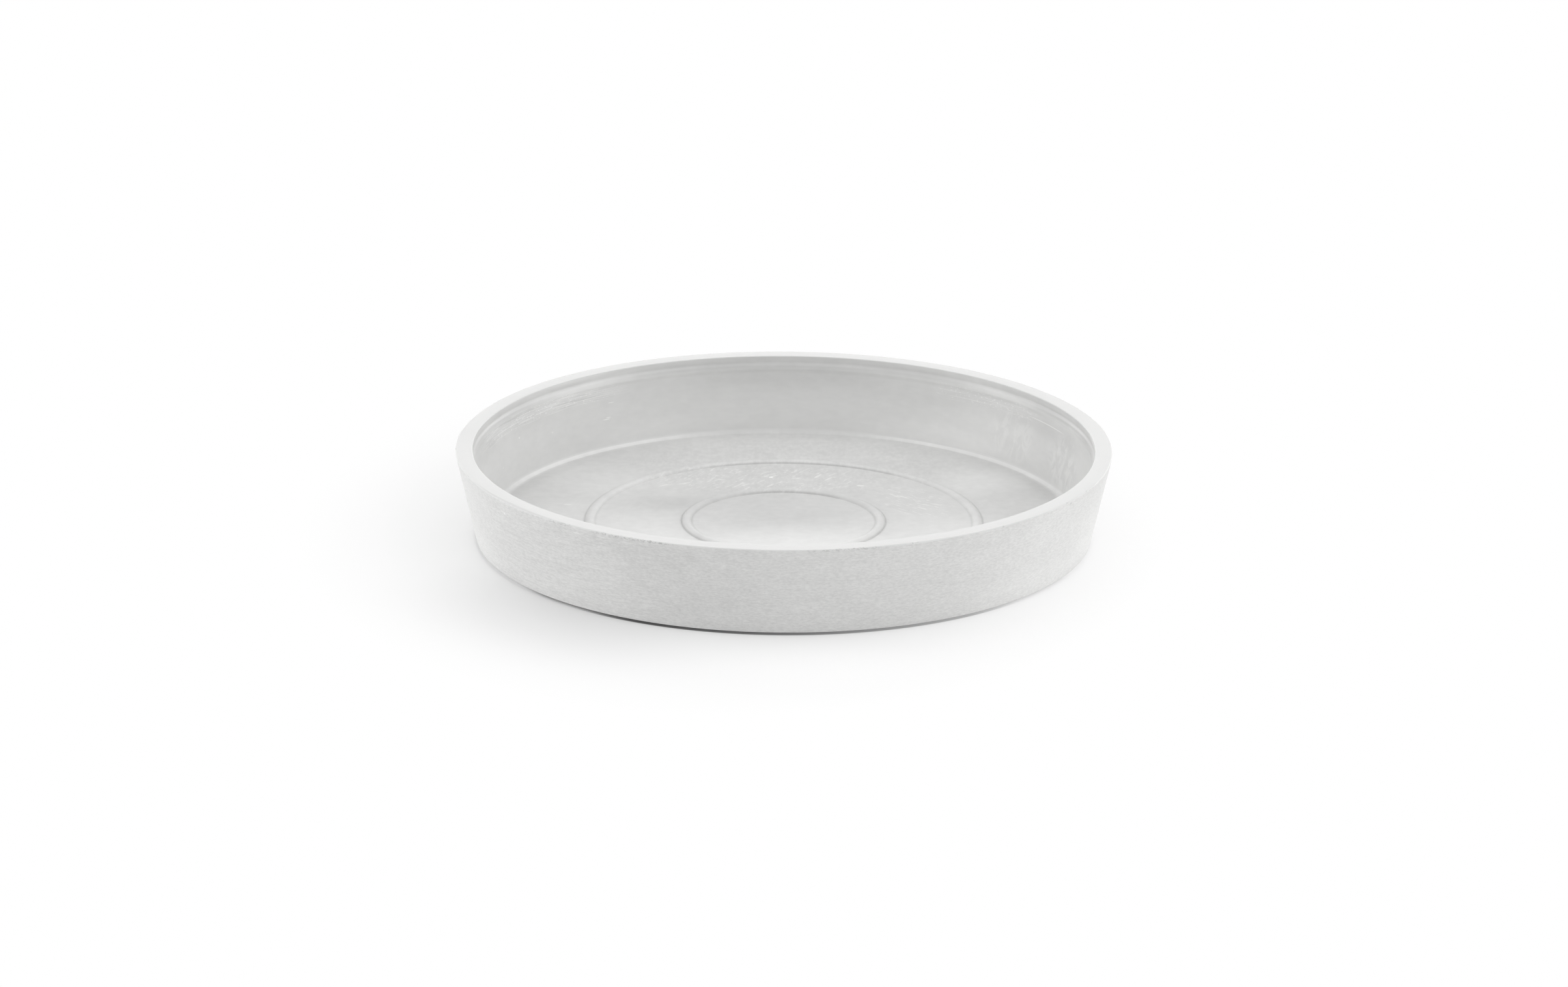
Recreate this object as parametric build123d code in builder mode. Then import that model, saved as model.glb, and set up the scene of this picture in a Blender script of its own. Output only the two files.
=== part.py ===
from build123d import *
import os

# A round plant saucer, in millimetres. Z points up, the origin is on the
# ground under the centre of the dish, and the front of the dish looks to -Y.

# The dish
rim_radius = 150.0
rim_width = 7.9
dish_height = 40.8
base_radius = 141.0
floor_thickness = 4.2
wall_foot_width = 6.7
cove_radius = 3.0
rim_edge_break = 0.4
base_bevel = 0.5

# The lip inside the rim: an upright land and a shallow rib under it
lip_land_height = 3.3
lip_rib_height = 4.6
lip_rib_slope_height = 1.3
lip_rib_depth = 0.4

# The two raised rings that hold the pot clear of standing water
inner_ring_radius = 44.5
inner_ring_width = 5.0
inner_ring_height = 1.5
outer_ring_radius = 89.0
outer_ring_width = 5.1
outer_ring_height = 1.3
ring_flank_width = 0.9
ring_crown_rise = 0.24

# The underside: a flat foot round the edge, a relieved middle and the gate mark
foot_width = 28.0
relief_depth = 1.0
relief_slope_width = 2.0
gate_dimple_radius = 6.0
gate_dimple_depth = 0.6
gate_stub_radius = 1.5
gate_stub_height = 0.4

# The anti-slip pads and the adhesive discs above them
pad_radius = 10.0
pad_thickness = 2.0
pad_stand = 1.2
pad_clearance = 0.4
adhesive_thickness = 0.5
adhesive_inset = 0.5
pad_bearings = {"front_left": 225, "front_right": 315, "back_left": 135, "back_right": 45}

# Heights of the main faces
base_z = pad_stand
relief_z = base_z + relief_depth
gate_z = relief_z + gate_dimple_depth
floor_z = base_z + floor_thickness
rim_z = base_z + dish_height

# The inside of the wall runs from the foot of the land to the floor
land_radius = rim_radius - rim_width
land_foot_z = rim_z - lip_land_height
wall_spread = rim_radius - base_radius
wall_foot_radius = base_radius + wall_spread * floor_thickness / dish_height - wall_foot_width
land_foot = Vector(land_radius, land_foot_z)
wall_foot = Vector(wall_foot_radius, floor_z)
down_the_wall = (wall_foot - land_foot).normalized()
out_of_the_wall = Vector(down_the_wall.Y, -down_the_wall.X)
rib_foot = land_foot + down_the_wall * lip_rib_height
rib_slope = down_the_wall * lip_rib_slope_height
rib_rise = out_of_the_wall * lip_rib_depth

# Corners that are finished
rim_outer_corner = (rim_radius, rim_z)
rim_inner_corner = (land_radius, rim_z)
base_corner = (base_radius, base_z)

# The pads sit midway across the foot
relief_radius = base_radius - foot_width
pad_circle_radius = base_radius - foot_width / 2
recess_depth = pad_thickness + adhesive_thickness - pad_stand


def corner_at(sketch, place):
    """The corner of a sketch that lies at a place."""
    return sketch.vertices().sort_by_distance(place)[0]


def ring_bead(radius, width, height):
    """Draws a raised ring's section, a crown on two flanks, and gives its outer and inner foot."""
    shoulder = width / 2 - ring_flank_width
    shoulder_z = floor_z + height - ring_crown_rise
    outer_flank = Line((radius + width / 2, floor_z), (radius + shoulder, shoulder_z))
    crown = ThreePointArc(outer_flank @ 1, (radius, floor_z + height), (radius - shoulder, shoulder_z))
    inner_flank = Line(crown @ 1, (radius - width / 2, floor_z))
    return outer_flank @ 0, inner_flank @ 1


# The dish, revolved from one half section
with BuildPart() as saucer_body:
    with BuildSketch(Plane.XZ) as section:
        with BuildLine():
            outside = Polyline(
                (0, gate_z - gate_stub_height),
                (gate_stub_radius, gate_z - gate_stub_height),
                (gate_stub_radius, gate_z),
                (gate_dimple_radius, gate_z),
                (gate_dimple_radius, relief_z),
                (relief_radius - relief_slope_width, relief_z),
                (relief_radius, base_z),
                base_corner,
                rim_outer_corner,
                rim_inner_corner,
                land_foot,
                land_foot + rib_slope + rib_rise,
                rib_foot - rib_slope + rib_rise,
                rib_foot,
                wall_foot,
            )
            outer_ring = ring_bead(outer_ring_radius, outer_ring_width, outer_ring_height)
            inner_ring = ring_bead(inner_ring_radius, inner_ring_width, inner_ring_height)
            Line(wall_foot, outer_ring[0])
            Line(outer_ring[1], inner_ring[0])
            Polyline(inner_ring[1], (0, floor_z), outside @ 0)
        make_face()
        fillet(corner_at(section, wall_foot), cove_radius)
        chamfer(corner_at(section, base_corner), base_bevel)
        chamfer(corner_at(section, rim_outer_corner), rim_edge_break)
        chamfer(corner_at(section, rim_inner_corner), rim_edge_break)
    revolve(axis=Axis.Z)
    # One shallow round recess for each pad
    with BuildSketch(Plane.XY.offset(base_z)):
        for bearing in pad_bearings.values():
            with PolarLocations(pad_circle_radius, 1, start_angle=bearing):
                Circle(pad_radius + pad_clearance)
    extrude(amount=recess_depth, mode=Mode.SUBTRACT)

saucer_body.part.label = "saucer_body"

os.makedirs("parts", exist_ok=True)
export_step(saucer_body.part, "parts/saucer_body.step")

# Each pad is a rubber disc, held to the roof of its recess by an adhesive disc
for place, bearing in pad_bearings.items():
    with BuildPart() as pad:
        with BuildSketch():
            with PolarLocations(pad_circle_radius, 1, start_angle=bearing):
                Circle(pad_radius)
        extrude(amount=pad_thickness)
    pad.part.label = "pad_" + place
    export_step(pad.part, "parts/pad_" + place + ".step")

    with BuildPart() as pad_adhesive:
        with BuildSketch(Plane.XY.offset(pad_thickness)):
            with PolarLocations(pad_circle_radius, 1, start_angle=bearing):
                Circle(pad_radius - adhesive_inset)
        extrude(amount=adhesive_thickness)
    pad_adhesive.part.label = "pad_adhesive_" + place
    export_step(pad_adhesive.part, "parts/pad_adhesive_" + place + ".step")
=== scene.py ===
import math
import random

import bmesh
import bpy
from mathutils import Matrix, Vector, noise


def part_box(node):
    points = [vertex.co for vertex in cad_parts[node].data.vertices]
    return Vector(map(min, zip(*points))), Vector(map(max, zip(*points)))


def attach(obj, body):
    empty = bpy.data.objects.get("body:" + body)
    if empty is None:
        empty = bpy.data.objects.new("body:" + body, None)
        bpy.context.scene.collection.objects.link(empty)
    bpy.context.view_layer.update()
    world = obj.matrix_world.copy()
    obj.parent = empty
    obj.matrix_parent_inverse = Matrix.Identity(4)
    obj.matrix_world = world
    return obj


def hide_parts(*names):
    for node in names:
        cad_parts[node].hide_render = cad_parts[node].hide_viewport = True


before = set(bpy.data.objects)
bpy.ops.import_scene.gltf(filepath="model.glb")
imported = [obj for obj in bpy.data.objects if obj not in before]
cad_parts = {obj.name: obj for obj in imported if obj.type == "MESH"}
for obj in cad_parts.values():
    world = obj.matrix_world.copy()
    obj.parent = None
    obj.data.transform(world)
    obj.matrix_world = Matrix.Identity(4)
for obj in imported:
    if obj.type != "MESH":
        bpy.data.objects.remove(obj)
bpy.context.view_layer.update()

# A white-grey moulded plant saucer on a pale floor, seen from above its front edge.
# Lengths are in metres, and the small ones are written as millimetres times MM. In tables
# of places, noise cells, the reach of patches and depths under the rim they are plain
# millimetres. Z points up, and the dish's front looks to -Y. A bearing is an angle in
# degrees about the dish's axis: 0 is its back, and 90 is its right side.

MM = 0.001
TURN = 2 * math.pi

# Sizes of the dish, the same as in the solids
RIM_RADIUS = 150.0 * MM
RIM_WIDTH = 7.9 * MM
BASE_RADIUS = 141.0 * MM
FLOOR_THICKNESS = 4.2 * MM
WALL_FOOT_WIDTH = 6.7 * MM
LIP_LAND_HEIGHT = 3.3 * MM
LIP_RIB_HEIGHT = 4.6 * MM
LIP_RIB_SLOPE_HEIGHT = 1.3 * MM
LIP_RIB_DEPTH = 0.4 * MM
INNER_RING = {"radius": 44.5 * MM, "width": 5.0 * MM, "height": 1.5 * MM}
OUTER_RING = {"radius": 89.0 * MM, "width": 5.1 * MM, "height": 1.3 * MM}
FOOT_WIDTH = 28.0 * MM
RELIEF_DEPTH = 1.0 * MM
RELIEF_SLOPE_WIDTH = 2.0 * MM
GATE_DIMPLE_RADIUS = 6.0 * MM
GATE_DIMPLE_DEPTH = 0.6 * MM
GATE_STUB_RADIUS = 1.5 * MM
GATE_STUB_HEIGHT = 0.4 * MM
PAD_CLEARANCE = 0.4 * MM

# Heights and radii that follow from the frame and from the sizes above
BASE_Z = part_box("saucer_body")[0].z
RIM_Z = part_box("saucer_body")[1].z
FLOOR_Z = BASE_Z + FLOOR_THICKNESS
RELIEF_Z = BASE_Z + RELIEF_DEPTH
GATE_Z = RELIEF_Z + GATE_DIMPLE_DEPTH
WALL_LEAN = (RIM_RADIUS - BASE_RADIUS) / (RIM_Z - BASE_Z)
LAND_RADIUS = RIM_RADIUS - RIM_WIDTH
LAND_FOOT_Z = RIM_Z - LIP_LAND_HEIGHT
WALL_FOOT_RADIUS = BASE_RADIUS + WALL_LEAN * FLOOR_THICKNESS - WALL_FOOT_WIDTH
INSIDE_LEAN = (LAND_RADIUS - WALL_FOOT_RADIUS) / (LAND_FOOT_Z - FLOOR_Z)
RELIEF_RADIUS = BASE_RADIUS - FOOT_WIDTH


def linear(hex_colour):
    """An sRGB hex colour as linear red, green, blue and alpha."""
    channels = [int(hex_colour[i:i + 2], 16) / 255 for i in (1, 3, 5)]
    return tuple(c / 12.92 if c <= 0.04045 else ((c + 0.055) / 1.055) ** 2.4 for c in channels) + (1.0,)


def add_node(tree, kind, settings=None, inputs=None):
    """Adds a shader node with its settings. Each input is a value, an output socket or a node."""
    node = tree.nodes.new(kind)
    for name, value in (settings or {}).items():
        setattr(node, name, value)
    for socket, value in (inputs or {}).items():
        if isinstance(value, bpy.types.Node):
            value = value.outputs[0]
        if isinstance(value, bpy.types.NodeSocket):
            tree.links.new(value, node.inputs[socket])
        else:
            node.inputs[socket].default_value = value
    return node


def new_material(name):
    """An empty node material, and the tree that its nodes go into."""
    material = bpy.data.materials.new(name)
    material.use_nodes = True
    material.node_tree.nodes.clear()
    return material, material.node_tree


def at_bearing(radius, bearing, height):
    """The point at a radius, a bearing and a height."""
    angle = math.radians(bearing)
    return Vector((radius * math.sin(angle), radius * math.cos(angle), height))


def inside_radius(height):
    """The radius of the inner face of the wall at a height."""
    return WALL_FOOT_RADIUS + INSIDE_LEAN * (height - FLOOR_Z)


def outside_radius(height):
    """The radius of the outer face of the wall at a height."""
    return BASE_RADIUS + WALL_LEAN * (height - BASE_Z)


NOISE_ROUGHNESS = 0.6


def grain(tree, place, cell, detail=3.0, span=(0.3, 0.7), out=(-1.0, 1.0), distortion=0.0):
    """Noise with its span stretched to the range out.

    cell is the lengths of its cells in millimetres along X, Y and Z.
    """
    cells = add_node(tree, "ShaderNodeVectorMath", {"operation": "DIVIDE"}, {
        0: place, 1: [length * MM for length in cell],
    })
    pattern = add_node(tree, "ShaderNodeTexNoise", inputs={
        "Vector": cells, "Scale": 1.0, "Detail": detail, "Roughness": NOISE_ROUGHNESS,
        "Distortion": distortion,
    })
    return add_node(tree, "ShaderNodeMapRange", inputs={
        0: pattern, 1: span[0], 2: span[1], 3: out[0], 4: out[1],
    })


def fade(tree, value, start, end, easing="SMOOTHSTEP"):
    """0 where a value is at start, 1 where it is at end, with a soft change between them."""
    return add_node(tree, "ShaderNodeMapRange", {"interpolation_type": easing}, {
        0: value, 1: start, 2: end, 3: 0.0, 4: 1.0,
    })


def patch(tree, place, centre, bearing, reach, turn=0.0, edge=0.5):
    """1 in an egg-shaped patch round a centre, fading to 0 at its edge.

    reach is its half lengths in millimetres along the wall, into it and up, before it is
    turned on the wall's face. edge is the share of them over which it fades.
    """
    local = add_node(tree, "ShaderNodeMapping", {"vector_type": "TEXTURE"}, {
        "Vector": place, "Location": centre, "Scale": [length * MM for length in reach],
        "Rotation": (0.0, math.radians(turn), -math.radians(bearing)),
    })
    ball = add_node(tree, "ShaderNodeTexGradient", {"gradient_type": "SPHERICAL"}, {"Vector": local})
    return fade(tree, ball.outputs["Fac"], 0.0, edge)


def multiply(tree, first, *others):
    """The product of values."""
    for other in others:
        first = add_node(tree, "ShaderNodeMath", {"operation": "MULTIPLY"}, {0: first, 1: other})
    return first


class Finish:
    """A material whose tone, relief in metres and roughness are built up layer by layer."""

    def __init__(self, name, roughness=0.5):
        self.material, self.tree = new_material(name)
        self.place = add_node(self.tree, "ShaderNodeTexCoord").outputs["Object"]
        self.tone = 1.0
        self.relief = 0.0
        self.roughness = roughness

    def lay(self, *layers, **gains):
        """Adds the product of some layers, times a gain, to the tone, the relief or the roughness."""
        product = multiply(self.tree, *layers)
        for what, gain in gains.items():
            total = add_node(self.tree, "ShaderNodeMath", {"operation": "MULTIPLY_ADD"}, {
                0: product, 1: gain, 2: getattr(self, what),
            })
            setattr(self, what, total)

    def shade(self, hex_colour, ior):
        """Makes the shader, in a colour that the tone lightens or darkens."""
        colour = add_node(self.tree, "ShaderNodeVectorMath", {"operation": "SCALE"}, {
            0: linear(hex_colour)[:3], "Scale": self.tone,
        })
        bump = add_node(self.tree, "ShaderNodeBump", inputs={
            "Strength": 1.0, "Distance": 1.0, "Height": self.relief,
        })
        shader = add_node(self.tree, "ShaderNodeBsdfPrincipled", inputs={
            "Base Color": colour, "Roughness": self.roughness, "IOR": ior, "Normal": bump,
        })
        add_node(self.tree, "ShaderNodeOutputMaterial", inputs={"Surface": shader})
        return self.material


# Where the dish's faces give way to each other, as spans of how far a point stands out of the
# outer face's cone
OUTER_FACE_SPAN = (-2.4 * MM, -1.4 * MM)
INSIDE_SPAN = (-5.0 * MM, -6.0 * MM)
FLOOR_SPAN = (-6.5 * MM, -7.5 * MM)

# The same, as spans of height
FLOOR_SLAB_HEIGHTS = (GATE_Z + 0.5 * MM, FLOOR_Z - 0.5 * MM)
WALL_FOOT_HEIGHTS = (FLOOR_Z + 1.2 * MM, FLOOR_Z + 2.8 * MM)
FLOOR_TOP_HEIGHTS = (FLOOR_Z + 2.8 * MM, FLOOR_Z + 1.6 * MM)

# The cove's core, as a span of the distance from the corner that the cove rounds off
COVE_CORE_SPAN = (1.6 * MM, 1.2 * MM)


def by_depth(skin, start, end):
    """0 at one depth under the rim and 1 at another, in millimetres."""
    return fade(skin.tree, skin.height, RIM_Z - start * MM, RIM_Z - end * MM)


def find_faces(skin):
    """Finds which face of the dish a point lies on. Each face is 1 on itself and 0 elsewhere."""
    tree, place = skin.tree, skin.place
    parts = add_node(tree, "ShaderNodeSeparateXYZ", inputs={0: place})
    skin.sideways = parts.outputs["X"]
    skin.height = parts.outputs["Z"]
    level = add_node(tree, "ShaderNodeVectorMath", {"operation": "MULTIPLY"}, {0: place, 1: (1, 1, 0)})
    distance = add_node(tree, "ShaderNodeVectorMath", {"operation": "LENGTH"}, {0: level})
    skin.radius = distance.outputs["Value"]
    outward = add_node(tree, "ShaderNodeVectorMath", {"operation": "NORMALIZE"}, {0: level})
    skin.round_the_wall = add_node(tree, "ShaderNodeVectorMath", {"operation": "MULTIPLY"}, {
        0: outward, 1: (RIM_RADIUS, RIM_RADIUS, 0.0),
    })
    # How far a point stands out of the cone of the outer face: nothing on it, and less inside
    cone = add_node(tree, "ShaderNodeMath", {"operation": "MULTIPLY_ADD"}, {
        0: skin.height, 1: WALL_LEAN, 2: BASE_RADIUS - WALL_LEAN * BASE_Z,
    })
    skin.proud = add_node(tree, "ShaderNodeMath", {"operation": "SUBTRACT"}, {0: skin.radius, 1: cone})
    below_rim = by_depth(skin, 0.2, 0.6)
    within = multiply(tree, below_rim, fade(tree, skin.proud, *INSIDE_SPAN))
    above_underside = fade(tree, skin.height, *FLOOR_SLAB_HEIGHTS)
    skin.outer_face = multiply(tree, below_rim, fade(tree, skin.proud, *OUTER_FACE_SPAN))
    skin.inside = multiply(tree, within, above_underside)
    skin.inner_face = multiply(tree, within, fade(tree, skin.height, *WALL_FOOT_HEIGHTS))
    skin.dish_floor = multiply(
        tree, fade(tree, skin.proud, *FLOOR_SPAN), above_underside,
        fade(tree, skin.height, *FLOOR_TOP_HEIGHTS),
    )
    section_place = add_node(tree, "ShaderNodeCombineXYZ", inputs={"X": skin.radius, "Z": skin.height})
    from_corner = add_node(tree, "ShaderNodeVectorMath", {"operation": "DISTANCE"}, {
        0: section_place, 1: (WALL_FOOT_RADIUS, 0.0, FLOOR_Z),
    })
    skin.cove_core = fade(tree, from_corner.outputs["Value"], *COVE_CORE_SPAN)


def on_wall(skin, radius_at, bearing, depth, reach, turn=0.0, edge=0.5):
    """A patch on a face of the wall, at a depth under the rim in millimetres."""
    height = RIM_Z - depth * MM
    centre = at_bearing(radius_at(height), bearing, height)
    return patch(skin.tree, skin.place, centre, bearing, reach, turn, edge)


def on_floor(skin, x, y, reach, turn=0.0, edge=0.5):
    """A patch on the floor, at a place in millimetres, turned from the X axis."""
    return patch(skin.tree, skin.place, (x * MM, y * MM, FLOOR_Z), -turn, reach, edge=edge)


def path_round(skin, step):
    """Coordinates that run round the dish and, across that, by height or by radius."""
    across = add_node(skin.tree, "ShaderNodeCombineXYZ", inputs={"Z": step})
    return add_node(skin.tree, "ShaderNodeVectorMath", {"operation": "ADD"}, {
        0: skin.round_the_wall, 1: across,
    })


def mottle(skin):
    """The faint cloudiness and speckle of the filled plastic, all over."""
    skin.lay(grain(skin.tree, skin.place, (7, 7, 5), detail=2.0), tone=0.012, roughness=0.03)
    skin.lay(grain(skin.tree, skin.place, (42, 42, 24), detail=2.0), tone=0.014)


# Where the outer face's blotches and its streaks are stronger
WORN_BEARING = 200
STREAKY_BEARING = 224


def brush(skin):
    """The brushing of the outer face: short level fibres, longer streaks and blotches between them.

    The real fibres are finer, and would not show. They are drawn as coarse as it takes.
    """
    tree, place = skin.tree, skin.place
    fibres = grain(tree, place, (1.9, 1.9, 0.62))
    streaks = grain(tree, place, (13, 13, 0.9), detail=2.0)
    blotches = grain(tree, place, (9, 9, 6), detail=4.0)
    skin.lay(fibres, skin.outer_face, tone=0.085, relief=0.014 * MM)
    skin.lay(streaks, skin.outer_face, tone=0.018, relief=0.006 * MM)
    skin.lay(blotches, skin.outer_face, tone=0.016)
    worn = patch(tree, place, at_bearing(RIM_RADIUS, WORN_BEARING, RIM_Z), WORN_BEARING, (74, 40, 24))
    skin.lay(blotches, worn, skin.outer_face, tone=0.026)
    low_down = at_bearing(RIM_RADIUS, STREAKY_BEARING, BASE_Z)
    streaky = patch(tree, place, low_down, STREAKY_BEARING, (84, 50, 60))
    skin.lay(streaks, streaky, skin.outer_face, tone=0.036)
    skin.lay(skin.outer_face, roughness=0.06)


# How far a patch on the floor reaches up, so that it covers the rings and the cove too
FLOOR_PATCH_HEIGHT = 20

# Where pots were dragged over the floor: place, half length, half width, turn from the X axis,
# and how the flecks there slant from it
DRAGS = [(-10, 62, 62, 26, 0, 58), (60, 30, 30, 18, -60, -40)]

# Where dust lies on the floor: place, half length and half width
DUSTY_PLACE = (4, 84, 104, 60)


def scuff_floor(skin):
    """The floor: turning marks, soft clouds, pale flecks where pots were dragged, and dust."""
    tree, place, floor = skin.tree, skin.place, skin.dish_floor
    skin.lay(grain(tree, path_round(skin, skin.radius), (60, 60, 0.8), detail=2.0), floor, tone=0.008)
    skin.lay(grain(tree, place, (5, 5, 5), detail=1.0), floor, tone=0.026)
    skin.lay(grain(tree, place, (26, 34, 30), detail=2.0), floor, tone=0.026)
    for x, y, half_length, half_width, turn, slant in DRAGS:
        slanted = add_node(tree, "ShaderNodeMapping", {"vector_type": "TEXTURE"}, {
            "Vector": place, "Rotation": (0.0, 0.0, math.radians(slant)),
        })
        flecks = grain(tree, slanted, (5.4, 1.8, 2.0), span=(0.56, 0.66), out=(0.0, 1.0))
        reach = (half_length, half_width, FLOOR_PATCH_HEIGHT)
        dragged = on_floor(skin, x, y, reach, turn, edge=0.4)
        skin.lay(flecks, dragged, floor, tone=0.16)
    dust = grain(tree, place, (2.0, 4.6, 4.6), detail=1.0, span=(0.40, 0.66))
    x, y, half_length, half_width = DUSTY_PLACE
    dusty = on_floor(skin, x, y, (half_length, half_width, FLOOR_PATCH_HEIGHT))
    skin.lay(dust, dusty, floor, tone=0.030)


# Painted shade in the creases beside the floor's rings: radius, gain in tone all round, and
# what is added to it at the back. The darker stretch there is centred on a bearing of its own,
# and fades between two shares of the radius.
CREASES = [
    (OUTER_RING["radius"] + OUTER_RING["width"] / 2, -0.15, 0.0),
    (OUTER_RING["radius"] - OUTER_RING["width"] / 2, -0.07, -0.17),
    (INNER_RING["radius"] + INNER_RING["width"] / 2, -0.19, 0.0),
    (INNER_RING["radius"] - INNER_RING["width"] / 2, -0.07, -0.14),
]
CREASE_HALF_WIDTH = 0.9 * MM
CREASE_BACK_BEARING = 6
CREASE_BACK_FIRST_SHARE = 0.77
CREASE_BACK_LAST_SHARE = 0.98


def paint_crease_shade(skin):
    """Painted shade: dark lines in the creases beside the floor's rings, darker at the back."""
    tree = skin.tree
    towards_back = add_node(tree, "ShaderNodeVectorMath", {"operation": "DOT_PRODUCT"}, {
        0: skin.place, 1: at_bearing(1.0, CREASE_BACK_BEARING, 0.0),
    }).outputs["Value"]
    for crease, gain, back_gain in CREASES:
        past = add_node(tree, "ShaderNodeMath", {"operation": "SUBTRACT"}, {0: skin.radius, 1: crease})
        off = add_node(tree, "ShaderNodeMath", {"operation": "ABSOLUTE"}, {0: past})
        line = multiply(tree, fade(tree, off, CREASE_HALF_WIDTH, 0.0), skin.dish_floor)
        back = fade(tree, towards_back, CREASE_BACK_FIRST_SHARE * crease, CREASE_BACK_LAST_SHARE * crease)
        # Painted shade in the crease all round, and more of it at the back
        skin.lay(line, tone=gain)
        skin.lay(line, back, tone=back_gain)


# Where the cove has a painted highlight, and the floor beside it painted shade: bearing, half
# length, and their gains in tone. The shaded floor begins and ends over these spans of radius.
COVE_SIDES = [(-44, 74, 0.18, -0.03), (44, 74, 0.17, -0.02), (-72, 44, 0.03, -0.07), (76, 44, 0.03, -0.07)]
BESIDE_COVE_START = (WALL_FOOT_RADIUS - 13 * MM, WALL_FOOT_RADIUS - 5 * MM)
BESIDE_COVE_END = (WALL_FOOT_RADIUS - 2.0 * MM, WALL_FOOT_RADIUS - 3.2 * MM)


def paint_cove_light(skin):
    """The cove between floor and wall, with a painted highlight at its sides, and painted shade on the floor
    beside it.
    """
    tree = skin.tree
    beside_cove = multiply(
        tree, skin.dish_floor, fade(tree, skin.radius, *BESIDE_COVE_START),
        fade(tree, skin.radius, *BESIDE_COVE_END),
    )
    for bearing, half_length, core_gain, beside_gain in COVE_SIDES:
        centre = at_bearing(WALL_FOOT_RADIUS, bearing, FLOOR_Z)
        reach = (half_length, half_length, FLOOR_PATCH_HEIGHT)
        side = patch(tree, skin.place, centre, bearing, reach, edge=0.6)
        # Painted highlight along the cove's core
        skin.lay(skin.cove_core, skin.inside, side, tone=core_gain)
        # Painted shade on the floor beside the cove
        skin.lay(beside_cove, side, tone=beside_gain)


# Scribbles of dried water on the inner face: bearing, depth under the rim, half length, and
# gain in tone
SCRIBBLES = [(52, 22, 20, 0.038), (71, 23, 22, 0.052)]
SCRIBBLE_INWARD = 18
SCRIBBLE_HALF_HEIGHT = 15


def wear_and_shade_wall(skin):
    """The inner face: a soft patchy bloom, painted shade in a band under the lip, and scribbles of dried
    water.
    """
    tree, place, wall = skin.tree, skin.place, skin.inner_face
    skin.lay(grain(tree, place, (7, 7, 2.6), detail=1.0), wall, tone=0.014)
    skin.lay(skin.inside, roughness=-0.07)
    # Painted shade: the inner face darker in a band under the lip
    skin.lay(wall, by_depth(skin, 21, 14), by_depth(skin, 7.0, 8.5), tone=-0.03)
    dried = grain(tree, place, (5.0, 5.0, 9.0), detail=2.0, span=(0.42, 0.60), distortion=1.0)
    for bearing, depth, half_length, gain in SCRIBBLES:
        reach = (half_length, SCRIBBLE_INWARD, SCRIBBLE_HALF_HEIGHT)
        smeared = on_wall(skin, inside_radius, bearing, depth, reach)
        skin.lay(dried, smeared, wall, tone=gain)
        skin.lay(smeared, wall, tone=0.02)


# Painted light and shade: soft patches where a face is drawn lighter or darker than the lamps
# leave it, among them a few real blotches. On the wall: bearing, depth under the rim, half
# length, half height, and gain in tone. On the floor: place, half lengths and gain.
INNER_LIGHT_AND_SHADE = [
    (0, 8.5, 70, 9, -0.08),
    (-60, 9.0, 30, 8, -0.06),
    (-82, 10.0, 46, 9, -0.07),
    (64, 11.0, 44, 8, -0.06),
    (46, 25.0, 62, 15, 0.08),
    (0, 27.0, 80, 11, 0.03),
    (34, 32.0, 56, 10, 0.09),
    (-30, 31.0, 40, 10, 0.05),
    (-50, 7.4, 28, 1.8, 0.08),
    (68, 6.8, 32, 2.2, 0.09),
    (84, 7.0, 26, 8, -0.06),
]
LIP_LIGHT_AND_SHADE = [
    (0, 2.5, 90, 6, -0.08),
    (-88, 2.5, 60, 6, -0.09),
    (-66, 3.4, 32, 4, -0.12),
    (78, 3.6, 50, 6, -0.13),
    (54, 3.0, 36, 3, -0.11),
    (62, 0.6, 32, 1.6, -0.06),
    (89, 0.9, 24, 2.6, 0.20),
    (64, 4.6, 26, 3, -0.13),
    (28, 3.6, 42, 3, -0.09),
    (-20, 3.8, 42, 3, -0.08),
    (-44, 0.3, 34, 2, 0.10),
    (-48, 3.0, 30, 2, -0.06),
    (-42, 5.2, 34, 2.4, 0.10),
    (46, 5.4, 30, 2, 0.06),
]
OUTER_LIGHT_AND_SHADE = [
    (186, 20.0, 90, 40, -0.045),
    (254, 22.0, 60, 40, 0.07),
    (126, 22.0, 60, 40, 0.06),
    (102, 28.0, 46, 40, 0.10),
    (218, 28.0, 66, 26, 0.065),
    (202, 7.0, 26, 9, -0.03),
]
FLOOR_LIGHT_AND_SHADE = [
    (-8, 20, 78, 44, -0.115),
    (0, -40, 150, 38, 0.12),
    (10, -6, 70, 30, -0.035),
    (-72, -10, 44, 26, 0.06),
    (-100, 14, 30, 22, 0.05),
    (84, -8, 48, 26, 0.07),
    (-52, 25, 26, 16, -0.10),
    (-88, 56, 34, 34, 0.06),
    (90, 60, 30, 30, 0.11),
    (12, 94, 60, 16, 0.04),
    (0, 118, 100, 20, 0.05),
]


# Painted light: the outer face is lighter low down at its sides, from one distance off the
# middle to another
SIDE_SPAN = (50 * MM, 110 * MM)


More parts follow.
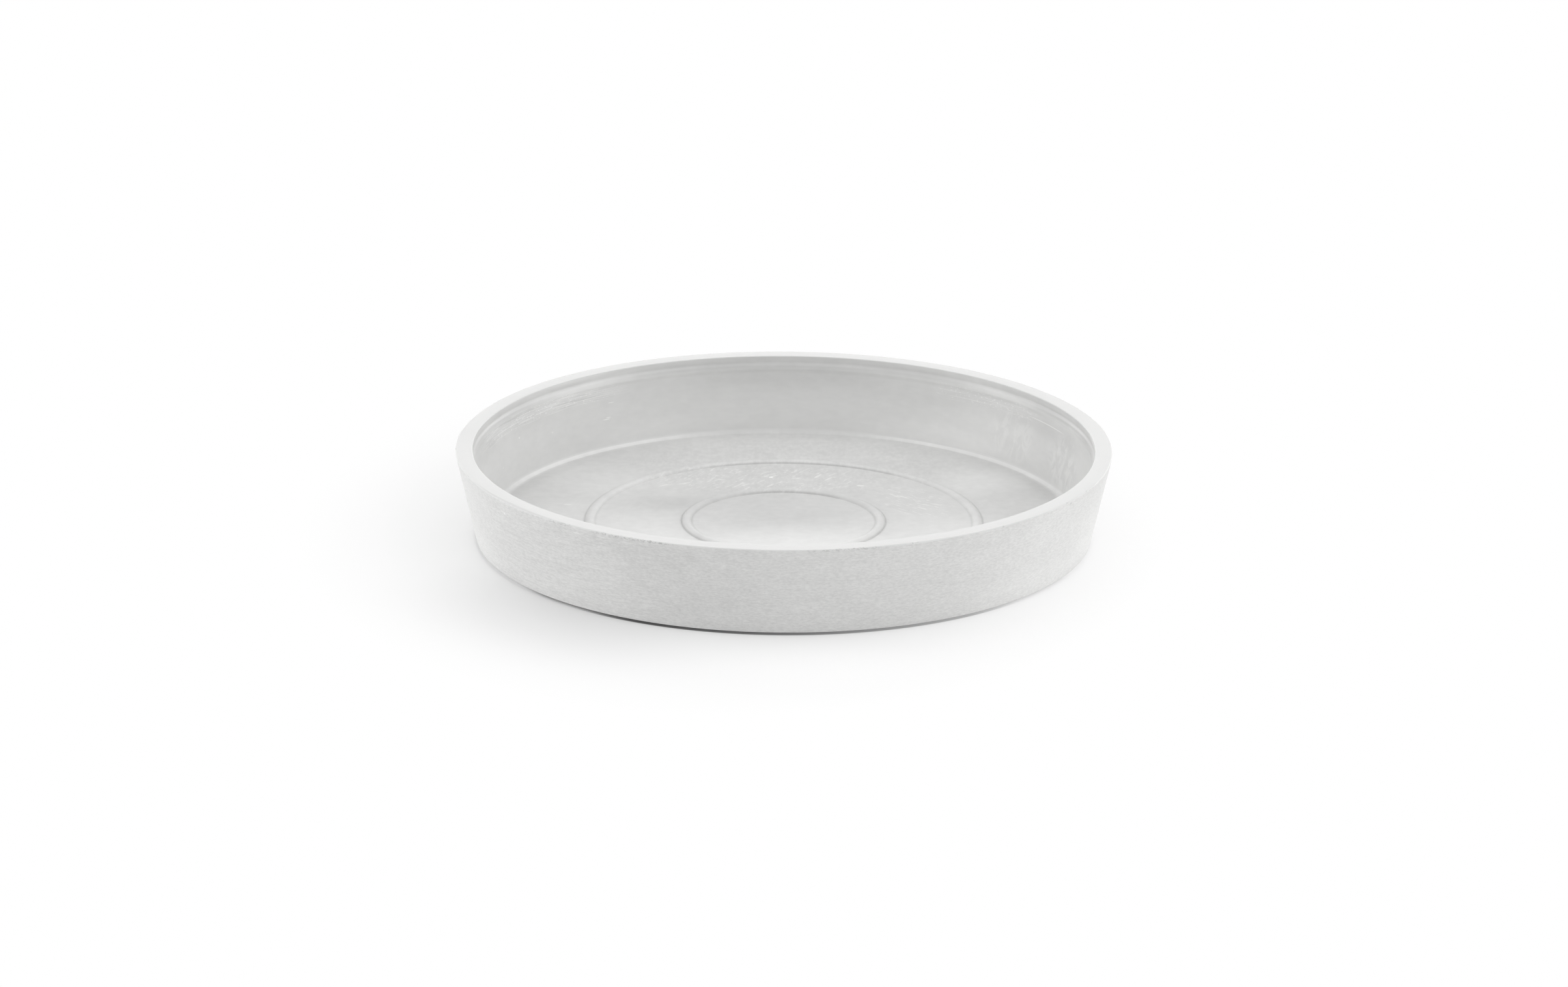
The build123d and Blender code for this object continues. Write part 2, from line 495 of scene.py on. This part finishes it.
def paint_light_and_shade(skin):
    """Painted light and shade: broad soft differences in tone."""
    tree = skin.tree
    off_middle = add_node(tree, "ShaderNodeMath", {"operation": "ABSOLUTE"}, {0: skin.sideways})
    side = fade(tree, off_middle, *SIDE_SPAN)
    # Painted light low down at the outer face's sides
    skin.lay(skin.outer_face, side, by_depth(skin, 22, 36), tone=0.07)
    lip = multiply(tree, skin.inner_face, by_depth(skin, 7.5, 6.5))
    # Painted light and shade in soft patches on the faces of the wall
    for radius_at, face, shades in (
        (inside_radius, skin.inner_face, INNER_LIGHT_AND_SHADE), (inside_radius, lip, LIP_LIGHT_AND_SHADE),
        (outside_radius, skin.outer_face, OUTER_LIGHT_AND_SHADE),
    ):
        for bearing, depth, half_length, half_height, gain in shades:
            reach = (half_length, half_length, half_height)
            skin.lay(on_wall(skin, radius_at, bearing, depth, reach, edge=0.8), face, tone=gain)
    # Painted light and shade in soft patches on the floor
    for x, y, half_length, half_width, gain in FLOOR_LIGHT_AND_SHADE:
        reach = (half_length, half_width, half_width)
        skin.lay(on_floor(skin, x, y, reach, edge=0.9), skin.dish_floor, tone=gain)


# The two scratched stretches under the lip, each with its bearing and half lengths, and the
# height at which they lie
SCRATCHED_LEFT = (-58, (70, 60, 12))
SCRATCHED_RIGHT = (44, (42, 20, 12))
SCRATCHED_Z = RIM_Z - 10 * MM


def scratch_lip(skin):
    """Fine scratches round the wall under the lip, made by pots that were turned in the dish."""
    tree, place = skin.tree, skin.place
    path = path_round(skin, skin.height)
    pale = grain(tree, path, (22, 22, 0.40), detail=1.0, span=(0.54, 0.64), out=(0.0, 1.0))
    dark = grain(tree, path, (30, 30, 0.5), detail=1.0, span=(0.45, 0.30), out=(0.0, 1.0))
    haze = grain(tree, path, (9, 9, 1.4), detail=2.0, span=(0.35, 0.60), out=(0.0, 1.0))
    specks = grain(tree, place, (1.6, 1.6, 0.8), detail=1.0, span=(0.60, 0.70), out=(0.0, 1.0))
    band = multiply(tree, skin.inner_face, by_depth(skin, 14, 11.5), by_depth(skin, 5.5, 7.0))
    left, right = (
        patch(tree, place, at_bearing(LAND_RADIUS, bearing, SCRATCHED_Z), bearing, reach)
        for bearing, reach in (SCRATCHED_LEFT, SCRATCHED_RIGHT)
    )
    skin.lay(pale, band, left, tone=0.17, relief=0.02 * MM)
    skin.lay(dark, band, left, tone=-0.12)
    skin.lay(haze, band, left, tone=0.05)
    skin.lay(specks, band, left, tone=0.16)
    skin.lay(pale, band, right, tone=0.07)
    skin.lay(specks, band, right, tone=0.14)


# Where the rim's outer edge is specked darker among its chips: bearing, half length, and gain in tone
SPECKED_EDGES = [(-154, 24, -0.22), (-139, 8, -0.16), (170, 24, -0.14)]
SPECKED_HALF_HEIGHT = 8
RIM_EDGE_SPAN = (-1.6 * MM, -0.9 * MM)


def speck_rim_edge(skin):
    """Dark specks along the rim's outer edge, where it is chipped."""
    tree, place = skin.tree, skin.place
    edge = multiply(
        tree, by_depth(skin, 1.5, 0.6), by_depth(skin, 0.05, 0.25),
        fade(tree, skin.proud, *RIM_EDGE_SPAN),
    )
    specks = grain(tree, place, (1.1, 1.1, 1.1), detail=1.0, span=(0.50, 0.60), out=(0.0, 1.0))
    for bearing, half_length, gain in SPECKED_EDGES:
        centre = at_bearing(RIM_RADIUS, bearing, RIM_Z)
        specked = patch(tree, place, centre, bearing, (half_length, half_length, SPECKED_HALF_HEIGHT))
        skin.lay(specks, edge, specked, tone=gain)


# Marks on the inner face of the wall: bearing, depth under the rim, half length, half width,
# turn on the face, and gain in tone
INNER_MARKS = [
    (61.9, 10.4, 20.0, 0.30, 0.5, 0.20),
    (-36.4, 14.9, 2.2, 0.30, 0, 0.16),
    (-37.4, 21.6, 1.8, 0.28, 0, 0.20),
    (-37.9, 22.3, 2.6, 0.28, 0, 0.22),
    (-63.2, 17.2, 0.7, 0.60, 0, 0.18),
    (-52.4, 21.3, 0.8, 0.50, 0, 0.10),
    (-72.0, 25.6, 0.6, 0.50, 0, 0.10),
]

# Marks on the outer face of the wall, the same way
OUTER_MARKS = [
    (180 + 56.2, 6.4, 0.8, 0.70, 0, 0.22),
    (180 - 58.2, 1.4, 0.9, 0.60, 0, -0.16),
    (180 + 37.0, 3.0, 4.5, 0.22, 3, 0.16),
    (180 + 32.0, 2.3, 3.0, 0.20, 0, 0.14),
    (180 + 46.0, 2.6, 2.6, 0.22, 2, 0.10),
    (180 + 27.0, 2.7, 5.0, 0.22, 1, 0.14),
]

# Marks on the floor: place, half length, half width, turn from the X axis, and gain in tone
FLOOR_MARKS = [
    (-100, 22, 2.2, 0.8, 0, 0.14),
    (-56, 52, 3.6, 0.9, 40, 0.13),
    (-47, 55, 4.0, 0.9, 30, 0.13),
    (-30, 61, 3.2, 0.9, -20, 0.12),
    (-6, 65, 1.2, 1.4, 0, 0.34),
    (16, 67, 4.6, 0.9, 62, 0.19),
    (21, 63, 4.2, 0.9, 58, 0.16),
    (36, 53, 2.2, 1.2, 0, 0.22),
    (55, 37, 3.6, 0.9, -35, 0.14),
    (64, 20, 4.0, 0.9, -40, 0.14),
    (70, 26, 3.0, 0.8, -30, 0.12),
]


# How far a mark reaches into the face that it lies on, and the share of it that fades
WALL_MARK_INWARD = 4
FLOOR_MARK_INWARD = 2
MARK_EDGE = 0.4


def mark(skin):
    """Single scratches, knocks and specks."""
    for x, y, half_length, half_width, turn, gain in FLOOR_MARKS:
        reach = (half_length, half_width, FLOOR_MARK_INWARD)
        skin.lay(on_floor(skin, x, y, reach, turn, MARK_EDGE), skin.dish_floor, tone=gain)
    for radius_at, face, marks in (
        (inside_radius, skin.inner_face, INNER_MARKS), (outside_radius, skin.outer_face, OUTER_MARKS),
    ):
        for bearing, depth, half_length, half_width, turn, gain in marks:
            reach = (half_length, WALL_MARK_INWARD, half_width)
            skin.lay(on_wall(skin, radius_at, bearing, depth, reach, turn, MARK_EDGE), face, tone=gain)


def moulded_plastic():
    """Mineral-filled polypropylene: a semi-matt white-grey skin with a faint mottle.

    Its outer face is brushed level, its inside keeps the scuffs, smears and dust of use.
    Painted light and shade lie over both faces in soft patches, in the creases and along the cove.
    """
    skin = Finish("brushed_filled_polypropylene", roughness=0.40)
    find_faces(skin)
    mottle(skin)
    brush(skin)
    scuff_floor(skin)
    paint_crease_shade(skin)
    paint_cove_light(skin)
    wear_and_shade_wall(skin)
    paint_light_and_shade(skin)
    scratch_lip(skin)
    speck_rim_edge(skin)
    mark(skin)
    return skin.shade("#D8D8D7", ior=1.49)


def pad_rubber():
    """Moulded rubber: matt charcoal with a fine tooth that keeps it from slipping."""
    rubber = Finish("moulded_rubber", roughness=0.72)
    bloom = grain(rubber.tree, rubber.place, (5, 5, 5), detail=4.0)
    tooth = grain(rubber.tree, rubber.place, (0.5, 0.5, 0.5), detail=2.0)
    rubber.lay(bloom, tone=0.12, roughness=0.06)
    rubber.lay(tooth, relief=0.03 * MM)
    return rubber.shade("#3C3C3E", ior=1.52)


def adhesive_foam():
    """Acrylic foam tape: a pale skin of fine closed cells, drawn coarser than the real ones."""
    foam = Finish("adhesive_foam", roughness=0.85)
    foam.lay(grain(foam.tree, foam.place, (0.35, 0.35, 0.35), detail=2.0), tone=0.06, relief=0.03 * MM)
    return foam.shade("#DAD7CE", ior=1.47)


RING_STEPS = 14


def ring_section(ring):
    """A raised ring's section as a low arc of points, from its outer foot to its inner one."""
    half_width, height = ring["width"] / 2, ring["height"]
    curve = (half_width ** 2 + height ** 2) / (2 * height)
    half_angle = math.asin(half_width / curve)
    angles = [half_angle * (1 - 2 * step / RING_STEPS) for step in range(RING_STEPS + 1)]
    middle = Vector((ring["radius"], FLOOR_Z + height - curve))
    return [middle + curve * Vector((math.sin(angle), math.cos(angle))) for angle in angles]


def dish_section():
    """The dish's half section, from the axis under it round to the axis on its floor.

    A corner that is rounded has the name of its rounding.
    """
    land_foot = Vector((LAND_RADIUS, LAND_FOOT_Z))
    wall_foot = Vector((WALL_FOOT_RADIUS, FLOOR_Z))
    down_the_wall = (wall_foot - land_foot).normalized()
    out_of_the_wall = Vector((down_the_wall.y, -down_the_wall.x))
    rib_foot = land_foot + down_the_wall * LIP_RIB_HEIGHT
    rib_slope = down_the_wall * LIP_RIB_SLOPE_HEIGHT
    rib_rise = out_of_the_wall * LIP_RIB_DEPTH
    corners = [
        (None, (0, GATE_Z - GATE_STUB_HEIGHT)),
        (None, (GATE_STUB_RADIUS, GATE_Z - GATE_STUB_HEIGHT)),
        (None, (GATE_STUB_RADIUS, GATE_Z)),
        (None, (GATE_DIMPLE_RADIUS, GATE_Z)),
        (None, (GATE_DIMPLE_RADIUS, RELIEF_Z)),
        ("relief", (RELIEF_RADIUS - RELIEF_SLOPE_WIDTH, RELIEF_Z)),
        ("relief", (RELIEF_RADIUS, BASE_Z)),
        ("base", (BASE_RADIUS, BASE_Z)),
        ("rim_outside", (RIM_RADIUS, RIM_Z)),
        ("rim_inside", (LAND_RADIUS, RIM_Z)),
        ("rib", land_foot),
        ("rib", land_foot + rib_slope + rib_rise),
        ("rib", rib_foot - rib_slope + rib_rise),
        ("rib", rib_foot),
        ("cove", wall_foot),
    ]
    corners += [(None, point) for point in ring_section(OUTER_RING) + ring_section(INNER_RING)]
    return corners + [(None, (0, FLOOR_Z))]


# How far each rounding reaches along the two sides of its corner, and its segments
ROUNDINGS = {
    "relief": (0.5 * MM, 2),
    "base": (0.18 * MM, 3),
    "rim_outside": (0.5 * MM, 5),
    "rim_inside": (0.4 * MM, 4),
    "rib": (0.45 * MM, 3),
    "cove": (2.45 * MM, 10),
}

# The turned mesh: lines of the section longer than a span are divided, one sector is spun
# from it in steps, and the other sectors are copies of that one
LONG_SPAN = 6 * MM
SECTORS = 24
SECTOR_STEPS = 20
MERGE_DISTANCE = 0.001 * MM


def spun_dish(bm):
    """Draws the dish's section, rounds its corners and turns it about the axis."""
    corners = dish_section()
    points = [bm.verts.new((radius, 0, height)) for _, (radius, height) in corners]
    for pair in zip(points, points[1:]):
        bm.edges.new(pair)
    for (name, _), point in zip(corners, points):
        if name:
            reach, segments = ROUNDINGS[name]
            bmesh.ops.bevel(
                bm, geom=[point], offset=reach, offset_type="OFFSET", affect="VERTICES",
                segments=segments, profile=0.5, material=-1, clamp_overlap=True,
            )
    for span in [edge for edge in bm.edges if edge.calc_length() > LONG_SPAN]:
        bmesh.ops.subdivide_edges(bm, edges=[span], cuts=int(span.calc_length() / LONG_SPAN))
    bmesh.ops.spin(
        bm, geom=bm.verts[:] + bm.edges[:], cent=(0, 0, 0), axis=(0, 0, 1),
        angle=TURN / SECTORS, steps=SECTOR_STEPS,
    )
    bmesh.ops.spin(
        bm, geom=bm.verts[:] + bm.edges[:] + bm.faces[:], cent=(0, 0, 0), axis=(0, 0, 1),
        angle=TURN * (SECTORS - 1) / SECTORS, steps=SECTORS - 1, use_duplicate=True,
    )
    bmesh.ops.remove_doubles(bm, verts=bm.verts, dist=MERGE_DISTANCE)
    bmesh.ops.recalc_face_normals(bm, faces=bm.faces)


# The rim's outer edge was eased by hand. The rounding is wider by these gains, each round
# a bearing and with a spread in degrees, and it wanders a little everywhere.
EDGE_EASINGS = [(-126, 11, 2.0), (-146, 6, 0.4), (160, 7, 0.8), (100, 12, 0.8), (-70, 14, 0.6)]
EDGE_WANDER = 0.25
EDGE_WANDER_LENGTH = 9 * MM
LEAST_EASING = 0.35

# What lies within this many reaches of the corner belongs to its rounding
EDGE_MARGIN = 1.01


def ease_rim_edge(bm):
    """Widens and narrows the rounding of the rim's outer edge, whose sides stay on their faces."""
    corner = Vector((RIM_RADIUS, RIM_Z))
    reach = ROUNDINGS["rim_outside"][0] * EDGE_MARGIN
    for vert in bm.verts:
        radius = vert.co.xy.length
        offset = Vector((radius, vert.co.z)) - corner
        if offset.length < reach:
            bearing = math.degrees(math.atan2(vert.co.x, vert.co.y))
            easing = 1 + EDGE_WANDER * noise.noise(vert.co.xy.to_3d() / EDGE_WANDER_LENGTH)
            for middle, spread, gain in EDGE_EASINGS:
                away = (bearing - middle + 180) % 360 - 180
                easing += gain * math.exp(-(away / spread) ** 2)
            eased = corner + offset * max(easing, LEAST_EASING)
            vert.co = Vector((*(vert.co.xy * eased.x / radius), eased.y))


# Small chips in the rim's outer edge: first and last bearing, and how many lie between them
CHIPS = [(-158, -148, 8), (-142, -139, 3), (164, 173, 9), (156, 164, 5), (-130, -90, 3), (90, 150, 4)]
CHIP_SEED = 11

# A chip lies at a share of its own stretch of the edge, and its height is a share of its bite.
# Its bumps are a share of its size, and so many lie across its half length.
CHIP_PLACE_SHARES = (0.2, 0.8)
CHIP_HALF_LENGTH = (0.4 * MM, 1.2 * MM)
CHIP_BITE = (0.50 * MM, 0.80 * MM)
CHIP_HEIGHT_SHARES = (0.7, 1.0)
CHIP_BUMP_SHARE = 0.22
CHIP_BUMPS = 1.5


def chip_tools(bm):
    """Rough little pebbles along the rim's outer edge, which the chips are cut with."""
    draw = random.Random(CHIP_SEED)
    for first, last, count in CHIPS:
        for step in range(count):
            bearing = first + (last - first) * (step + draw.uniform(*CHIP_PLACE_SHARES)) / count
            half_length = draw.uniform(*CHIP_HALF_LENGTH)
            bite = draw.uniform(*CHIP_BITE)
            pebble = bmesh.ops.create_icosphere(bm, subdivisions=2, radius=1.0)["verts"]
            for vert in pebble:
                bump = noise.noise(vert.co * CHIP_BUMPS + Vector((bearing, 0, 0)))
                vert.co *= 1 + CHIP_BUMP_SHARE * bump
            place = Matrix.Translation(at_bearing(RIM_RADIUS, bearing, RIM_Z))
            turn = Matrix.Rotation(-math.radians(bearing), 4, "Z")
            size = Matrix.Diagonal((half_length, bite, bite * draw.uniform(*CHIP_HEIGHT_SHARES), 1.0))
            bmesh.ops.transform(bm, matrix=place @ turn @ size, verts=pebble)


# Sides of the round pads, and of the cutters for their recesses
DISC_SIDES = 96


def pad_box(name):
    """A pad's middle, its radius and its lowest and highest level, from the frame."""
    low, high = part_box(name)
    return (low + high) / 2, (high.x - low.x) / 2, low.z, high.z


def add_disc(bm, middle, radius, low, high, turn=0.0):
    """Adds an upright disc between two levels, turned about its own axis."""
    disc = bmesh.ops.create_cone(
        bm, cap_ends=True, segments=DISC_SIDES, radius1=radius, radius2=radius,
        depth=high - low, matrix=Matrix.Rotation(turn, 4, "Z"),
    )
    bmesh.ops.translate(bm, vec=(middle.x, middle.y, (low + high) / 2), verts=disc["verts"])


def recess_tools(bm, pads):
    """Flat round cutters for the pads' recesses, up to the top of the adhesive above each pad.

    They are turned by half a side, so that no corner of theirs falls on a seam of the dish's mesh.
    """
    for name in pads:
        middle, radius, low, _ = pad_box(name)
        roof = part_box(name.replace("pad_", "pad_adhesive_"))[1].z
        add_disc(bm, middle, radius + PAD_CLEARANCE, low, roof, turn=TURN / DISC_SIDES / 2)


def new_object(name, bm):
    """A mesh object of a bmesh, in the scene."""
    mesh = bpy.data.meshes.new(name)
    bm.to_mesh(mesh)
    bm.free()
    piece = bpy.data.objects.new(name, mesh)
    bpy.context.scene.collection.objects.link(piece)
    return piece


def cut_out(piece, tool):
    """Takes a tool's shape out of a piece, and throws the tool away."""
    boolean = piece.modifiers.new("cut", "BOOLEAN")
    boolean.operation = "DIFFERENCE"
    boolean.solver = "MANIFOLD"
    boolean.object = tool
    uncut = piece.data
    piece.data = bpy.data.meshes.new_from_object(piece.evaluated_get(bpy.context.evaluated_depsgraph_get()))
    piece.modifiers.clear()
    bpy.data.meshes.remove(uncut)
    bpy.data.meshes.remove(tool.data)


CRISP_ANGLE = math.radians(35)


def finish_piece(piece, material):
    """Gives a piece its material and smooths its faces, which stay crisp where they turn sharply."""
    for polygon in piece.data.polygons:
        polygon.use_smooth = True
    piece.data.set_sharp_from_angle(angle=CRISP_ANGLE)
    piece.data.materials.clear()
    piece.data.materials.append(material)
    weighted = piece.modifiers.new("weighted_normals", "WEIGHTED_NORMAL")
    weighted.keep_sharp = True
    return piece


def dish(material, pads):
    """The moulded dish, with the pads' recesses and the chips of its rim cut out of it."""
    bm = bmesh.new()
    spun_dish(bm)
    ease_rim_edge(bm)
    tools = bmesh.new()
    chip_tools(tools)
    recess_tools(tools, pads)
    piece = new_object("dish", bm)
    cut_out(piece, new_object("dish_tools", tools))
    return finish_piece(piece, material)


PAD_EDGE_ROUNDING = 0.5 * MM
PAD_EDGE_SEGMENTS = 4


def rubber_pad(name, material):
    """A moulded disc with a rounded lower edge."""
    middle, radius, low, high = pad_box(name)
    bm = bmesh.new()
    add_disc(bm, middle, radius, low, high)
    rounded = [edge for edge in bm.edges if max(vert.co.z for vert in edge.verts) < low + MERGE_DISTANCE]
    bmesh.ops.bevel(
        bm, geom=rounded, offset=PAD_EDGE_ROUNDING, offset_type="OFFSET", affect="EDGES",
        segments=PAD_EDGE_SEGMENTS, profile=0.5, material=-1, clamp_overlap=True,
    )
    return finish_piece(new_object("rubber_" + name, bm), material)


# The paper burns out to plain white away from an egg-shaped patch, which keeps the dish's
# shadow. The distance from its middle is a share of its half lengths.
BURN_CENTRE = Vector((-24 * MM, 10 * MM, 0))
BURN_HALF_LENGTHS = Vector((148 * MM, 188 * MM, 1))
BURN_FIRST_SHARE = 0.72
BURN_LAST_SHARE = 1.34

# Painted light: under the dish the paper burns out to white too, which takes the shade out of
# the gap, on the right and less so on the left: from where to where along X it does, and how far
BURNT_SIDES = [(110, 130, 0.7), (-100, -120, 0.35)]

# Painted shadow and painted light on the paper in front of the dish, where it is darker or
# paler: place, half lengths, bearing, the edge over which it fades, and gain in tone
PAPER_LIGHT_AND_SHADE = [(-108, -128, 104, 62, 45, 0.9, -0.17), (18, -180, 64, 36, 0, 0.8, 0.04)]
PAPER_PATCH_HEIGHT = 10

# The paper under the dish, as a span of radius, and the painted shadow on it in front: the
# middle's place along X, half lengths, and gain in tone
BENEATH_SPAN = (BASE_RADIUS + 0.3 * MM, BASE_RADIUS - 0.5 * MM)
PAINTED_FRONT_SHADOW = (14, 128, 70, -0.9)


def seamless_paper():
    """Matt white seamless paper, which shows plain white away from the dish, and carries painted shadow and
    painted light near it.
    """
    paper = Finish("seamless_paper")
    tree, place = paper.tree, paper.place
    egg = add_node(tree, "ShaderNodeMapping", {"vector_type": "TEXTURE"}, {
        "Vector": place, "Location": BURN_CENTRE, "Scale": BURN_HALF_LENGTHS,
    })
    share = add_node(tree, "ShaderNodeVectorMath", {"operation": "LENGTH"}, {0: egg}).outputs["Value"]
    burnt = fade(tree, share, BURN_FIRST_SHARE, BURN_LAST_SHARE, easing="LINEAR")

    radius = add_node(tree, "ShaderNodeVectorMath", {"operation": "LENGTH"}, {0: place}).outputs["Value"]
    beneath = fade(tree, radius, *BENEATH_SPAN)
    x, half_length, half_width, gain = PAINTED_FRONT_SHADOW
    reach = (half_length, half_width, PAPER_PATCH_HEIGHT)
    # Painted shadow on the paper under the dish's front
    front_shadow = patch(tree, place, (x * MM, -BASE_RADIUS, 0), 0, reach, edge=0.4)
    paper.lay(front_shadow, beneath, tone=gain)
    # Painted shadow and painted light on the paper in front of the dish
    for x, y, half_length, half_width, bearing, edge, gain in PAPER_LIGHT_AND_SHADE:
        reach = (half_length, half_width, PAPER_PATCH_HEIGHT)
        paper.lay(patch(tree, place, (x * MM, y * MM, 0), bearing, reach, edge=edge), tone=gain)
    sideways = add_node(tree, "ShaderNodeSeparateXYZ", inputs={0: place}).outputs["X"]
    # Painted light: the paper under the dish's sides burns out to white
    for start, end, strength in BURNT_SIDES:
        side = multiply(tree, fade(tree, sideways, start * MM, end * MM), beneath, strength)
        burnt = add_node(tree, "ShaderNodeMath", {"operation": "MAXIMUM"}, {0: burnt, 1: side})

    colour = add_node(tree, "ShaderNodeVectorMath", {"operation": "SCALE"}, {
        0: linear("#F4F4F4")[:3], "Scale": paper.tone,
    })
    matt = add_node(tree, "ShaderNodeBsdfDiffuse", inputs={"Color": colour})
    white = add_node(tree, "ShaderNodeEmission", inputs={"Color": linear("#FFFFFF"), "Strength": 1.0})
    seen = add_node(tree, "ShaderNodeLightPath").outputs["Is Camera Ray"]
    shown = add_node(tree, "ShaderNodeMixShader", inputs={0: multiply(tree, burnt, seen), 1: matt, 2: white})
    add_node(tree, "ShaderNodeOutputMaterial", inputs={"Surface": shown})
    return paper.material


PAPER_HALF_SIDE = 6.0


def studio_floor():
    """The paper that the dish stands on."""
    bm = bmesh.new()
    bmesh.ops.create_grid(bm, x_segments=1, y_segments=1, size=PAPER_HALF_SIDE)
    floor = new_object("studio_floor", bm)
    floor.data.materials.append(seamless_paper())


# Soft boxes: bearing and elevation in degrees, and how bright each one is, where the paper
# is about 1. They add a little direction to the even light of the world.
SOFT_BOX_DISTANCE = 2.6
SOFT_BOX_SIZE = 1.2
SOFT_BOXES = {
    "left": (270, 22, 1.19),
    "right": (88, 28, 0.91),
    "right_front": (130, 38, 1.10),
    "left_front": (228, 35, 0.22),
}


def soft_boxes():
    """Square area lamps that look at the dish."""
    for name, (bearing, elevation, brightness) in SOFT_BOXES.items():
        data = bpy.data.lights.new(name + "_soft_box", "AREA")
        data.shape = "SQUARE"
        data.size = SOFT_BOX_SIZE
        data.energy = brightness * math.pi * SOFT_BOX_SIZE ** 2
        lamp = bpy.data.objects.new(name + "_soft_box", data)
        flat = SOFT_BOX_DISTANCE * math.cos(math.radians(elevation))
        lamp.location = at_bearing(flat, bearing, SOFT_BOX_DISTANCE * math.sin(math.radians(elevation)))
        lamp.rotation_euler = lamp.location.to_track_quat("Z", "Y").to_euler()
        bpy.context.scene.collection.objects.link(lamp)


# Strengths of the world's light: everywhere, what is added overhead, and what a low backdrop
# behind the dish adds. The spans are of the direction's upward and backward parts.
WORLD_LIGHT = 0.52
OVERHEAD_LIGHT = 0.39
OVERHEAD_SPAN = (0.05, 0.5)
BACKDROP_LIGHT = 2.24
BACKDROP_BACKWARD_SPAN = (-0.6, 0.2)
BACKDROP_LOW_SPAN = (0.42, 0.10)


def studio_world():
    """Even light from all round, more of it from overhead and most from a low backdrop behind.

    The camera sees plain white.
    """
    world = bpy.data.worlds.new("studio")
    bpy.context.scene.world = world
    world.use_nodes = True
    tree = world.node_tree
    tree.nodes.clear()
    direction = add_node(tree, "ShaderNodeTexCoord").outputs["Generated"]
    parts = add_node(tree, "ShaderNodeSeparateXYZ", inputs={0: direction})
    overhead = fade(tree, parts.outputs["Z"], *OVERHEAD_SPAN)
    behind = fade(tree, parts.outputs["Y"], *BACKDROP_BACKWARD_SPAN)
    low = fade(tree, parts.outputs["Z"], *BACKDROP_LOW_SPAN)
    light = WORLD_LIGHT
    for part, strength in ((overhead, OVERHEAD_LIGHT), (multiply(tree, behind, low), BACKDROP_LIGHT)):
        light = add_node(tree, "ShaderNodeMath", {"operation": "MULTIPLY_ADD"}, {
            0: part, 1: strength, 2: light,
        })
    seen = add_node(tree, "ShaderNodeLightPath").outputs["Is Camera Ray"]
    shown = add_node(tree, "ShaderNodeMix", inputs={0: seen, 2: light, 3: 1.0})
    glow = add_node(tree, "ShaderNodeBackground", inputs={"Color": linear("#FFFFFF"), "Strength": shown})
    add_node(tree, "ShaderNodeOutputWorld", inputs={"Surface": glow})


# The camera stands where the photograph was taken from. Its numbers come from the
# ellipses of the rim, the base and the floor rings.
PHOTO_WIDTH = 2408
FOCAL_PIXELS = 8065
CAMERA_DISTANCE = 16 * RIM_RADIUS
CAMERA_ELEVATION = math.radians(17.57)
CAMERA_ROLL = math.radians(0.35)
RIM_CENTRE_PIXEL = Vector((1203.5, 682.9))
IMAGE_CENTRE_PIXEL = Vector((1204.0, 757.5))
SENSOR_WIDTH = 36.0


def camera():
    """A long lens, aimed so that the rim's centre falls on its pixel."""
    data = bpy.data.cameras.new("camera")
    data.sensor_width = SENSOR_WIDTH
    data.sensor_fit = "HORIZONTAL"
    data.lens = FOCAL_PIXELS / PHOTO_WIDTH * SENSOR_WIDTH
    data.clip_start = 0.1
    data.clip_end = 50
    piece = bpy.data.objects.new("camera", data)
    bpy.context.scene.collection.objects.link(piece)
    flat = CAMERA_DISTANCE * math.cos(CAMERA_ELEVATION)
    piece.location = (0, -flat, RIM_Z + CAMERA_DISTANCE * math.sin(CAMERA_ELEVATION))
    off_centre = (IMAGE_CENTRE_PIXEL - RIM_CENTRE_PIXEL) / FOCAL_PIXELS
    turn = Matrix.Rotation(-math.atan(off_centre.x), 3, "Z")
    tilt = Matrix.Rotation(math.pi / 2 - CAMERA_ELEVATION - math.atan(off_centre.y), 3, "X")
    piece.rotation_euler = (turn @ tilt @ Matrix.Rotation(CAMERA_ROLL, 3, "Z")).to_euler()
    bpy.context.scene.camera = piece


bpy.context.scene.view_settings.view_transform = "Standard"
camera()
soft_boxes()
studio_world()
studio_floor()

pad_names = [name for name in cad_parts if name.startswith("pad_") and "adhesive" not in name]
pieces = [("saucer_body", "body_plastic", dish(moulded_plastic(), pad_names))]
rubber = pad_rubber()
pieces += [(name, "pad_rubber", rubber_pad(name, rubber)) for name in pad_names]
for node_name, slot, piece in pieces:
    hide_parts(node_name)
    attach(piece, "root")

# The adhesive discs stay the frame's own, in foam
foam = adhesive_foam()
for node_name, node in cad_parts.items():
    if "adhesive" in node_name:
        node.data.materials.clear()
        node.data.materials.append(foam)
